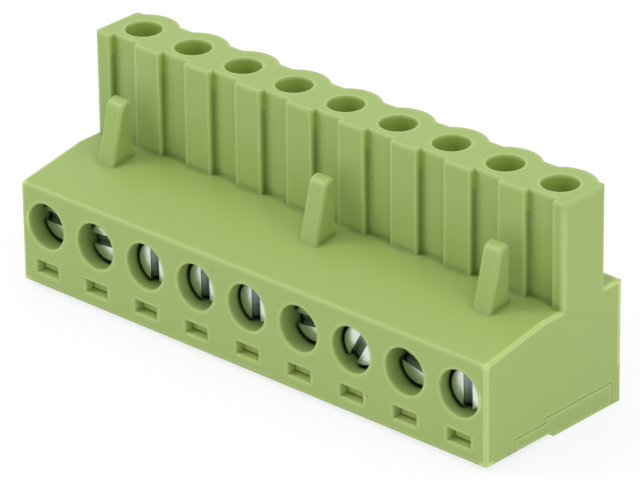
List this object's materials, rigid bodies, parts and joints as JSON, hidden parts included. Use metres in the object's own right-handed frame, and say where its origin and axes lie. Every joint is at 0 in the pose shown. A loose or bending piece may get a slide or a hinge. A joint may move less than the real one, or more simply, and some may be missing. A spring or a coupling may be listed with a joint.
{
  "type": "pluggable terminal block",
  "caption": "Green pluggable screw terminal block: a row of round pin openings in a keyed mating nose, slotted clamp screws in front wells, latch fins and a snap-in wire cover below",
  "frame": {"origin": "middle of the underside, at the lowest plane (z = 0)", "axes": "+X along the row of poles from pole 1 to pole 9, -Y the face with the clamp screws, +Z the way the block plugs into its header; wires leave along -Z"},
  "size_m": [0.0458, 0.0146, 0.0178],
  "materials": {
    "green_polyamide": "moulded, satin, light yellowish green",
    "zinc_plated_steel": "bright zinc plating, machined slot and thread",
    "nickel_plated_steel": "satin nickel plating",
    "tinned_bronze": "matte tin plating over bronze strip"
  },
  "bodies": {
    "housing": {"housing": "green_polyamide", "wire_cover": "green_polyamide", "contact_1": "tinned_bronze", "contact_2": "tinned_bronze", "contact_3": "tinned_bronze", "contact_4": "tinned_bronze", "contact_5": "tinned_bronze", "contact_6": "tinned_bronze", "contact_7": "tinned_bronze", "contact_8": "tinned_bronze", "contact_9": "tinned_bronze"},
    "clamp_screw_1": {"clamp_screw_1": "zinc_plated_steel"},
    "clamp_cage_1": {"clamp_cage_1": "nickel_plated_steel"},
    "clamp_screw_2": {"clamp_screw_2": "zinc_plated_steel"},
    "clamp_cage_2": {"clamp_cage_2": "nickel_plated_steel"},
    "clamp_screw_3": {"clamp_screw_3": "zinc_plated_steel"},
    "clamp_cage_3": {"clamp_cage_3": "nickel_plated_steel"},
    "clamp_screw_4": {"clamp_screw_4": "zinc_plated_steel"},
    "clamp_cage_4": {"clamp_cage_4": "nickel_plated_steel"},
    "clamp_screw_5": {"clamp_screw_5": "zinc_plated_steel"},
    "clamp_cage_5": {"clamp_cage_5": "nickel_plated_steel"},
    "clamp_screw_6": {"clamp_screw_6": "zinc_plated_steel"},
    "clamp_cage_6": {"clamp_cage_6": "nickel_plated_steel"},
    "clamp_screw_7": {"clamp_screw_7": "zinc_plated_steel"},
    "clamp_cage_7": {"clamp_cage_7": "nickel_plated_steel"},
    "clamp_screw_8": {"clamp_screw_8": "zinc_plated_steel"},
    "clamp_cage_8": {"clamp_cage_8": "nickel_plated_steel"},
    "clamp_screw_9": {"clamp_screw_9": "zinc_plated_steel"},
    "clamp_cage_9": {"clamp_cage_9": "nickel_plated_steel"}
  },
  "joints": [
    {"name": "screw_turn_1", "type": "hinge", "parent": "housing", "child": "clamp_screw_1", "pos_m": [-0.02032, -0.0043, 0.0054], "axis": [0, 1, 0], "range_deg": [0, 1800]},
    {"name": "cage_lift_1", "type": "slide", "parent": "housing", "child": "clamp_cage_1", "axis": [0, -1, 0], "range_m": [0, 0.0025]},
    {"name": "screw_turn_2", "type": "hinge", "parent": "housing", "child": "clamp_screw_2", "pos_m": [-0.01514, -0.0043, 0.0054], "axis": [0, 1, 0], "range_deg": [0, 1800]},
    {"name": "cage_lift_2", "type": "slide", "parent": "housing", "child": "clamp_cage_2", "axis": [0, -1, 0], "range_m": [0, 0.0025]},
    {"name": "screw_turn_3", "type": "hinge", "parent": "housing", "child": "clamp_screw_3", "pos_m": [-0.01013, -0.0043, 0.0054], "axis": [0, 1, 0], "range_deg": [0, 1800]},
    {"name": "cage_lift_3", "type": "slide", "parent": "housing", "child": "clamp_cage_3", "axis": [0, -1, 0], "range_m": [0, 0.0025]},
    {"name": "screw_turn_4", "type": "hinge", "parent": "housing", "child": "clamp_screw_4", "pos_m": [-0.00515, -0.0043, 0.0054], "axis": [0, 1, 0], "range_deg": [0, 1800]},
    {"name": "cage_lift_4", "type": "slide", "parent": "housing", "child": "clamp_cage_4", "axis": [0, -1, 0], "range_m": [0, 0.0025]},
    {"name": "screw_turn_5", "type": "hinge", "parent": "housing", "child": "clamp_screw_5", "pos_m": [-0.0001, -0.0043, 0.0054], "axis": [0, 1, 0], "range_deg": [0, 1800]},
    {"name": "cage_lift_5", "type": "slide", "parent": "housing", "child": "clamp_cage_5", "axis": [0, -1, 0], "range_m": [0, 0.0025]},
    {"name": "screw_turn_6", "type": "hinge", "parent": "housing", "child": "clamp_screw_6", "pos_m": [0.00508, -0.0043, 0.0054], "axis": [0, 1, 0], "range_deg": [0, 1800]},
    {"name": "cage_lift_6", "type": "slide", "parent": "housing", "child": "clamp_cage_6", "axis": [0, -1, 0], "range_m": [0, 0.0025]},
    {"name": "screw_turn_7", "type": "hinge", "parent": "housing", "child": "clamp_screw_7", "pos_m": [0.01016, -0.0043, 0.0054], "axis": [0, 1, 0], "range_deg": [0, 1800]},
    {"name": "cage_lift_7", "type": "slide", "parent": "housing", "child": "clamp_cage_7", "axis": [0, -1, 0], "range_m": [0, 0.0025]},
    {"name": "screw_turn_8", "type": "hinge", "parent": "housing", "child": "clamp_screw_8", "pos_m": [0.01524, -0.0043, 0.0054], "axis": [0, 1, 0], "range_deg": [0, 1800]},
    {"name": "cage_lift_8", "type": "slide", "parent": "housing", "child": "clamp_cage_8", "axis": [0, -1, 0], "range_m": [0, 0.0025]},
    {"name": "screw_turn_9", "type": "hinge", "parent": "housing", "child": "clamp_screw_9", "pos_m": [0.0203, -0.0043, 0.0054], "axis": [0, 1, 0], "range_deg": [0, 1800]},
    {"name": "cage_lift_9", "type": "slide", "parent": "housing", "child": "clamp_cage_9", "axis": [0, -1, 0], "range_m": [0, 0.0025]}
  ],
  "couplings": [
    {"joint": "screw_turn_1", "follows": "cage_lift_1", "rad_per_m": 12566},
    {"joint": "screw_turn_2", "follows": "cage_lift_2", "rad_per_m": 12566},
    {"joint": "screw_turn_3", "follows": "cage_lift_3", "rad_per_m": 12566},
    {"joint": "screw_turn_4", "follows": "cage_lift_4", "rad_per_m": 12566},
    {"joint": "screw_turn_5", "follows": "cage_lift_5", "rad_per_m": 12566},
    {"joint": "screw_turn_6", "follows": "cage_lift_6", "rad_per_m": 12566},
    {"joint": "screw_turn_7", "follows": "cage_lift_7", "rad_per_m": 12566},
    {"joint": "screw_turn_8", "follows": "cage_lift_8", "rad_per_m": 12566},
    {"joint": "screw_turn_9", "follows": "cage_lift_9", "rad_per_m": 12566}
  ]
}
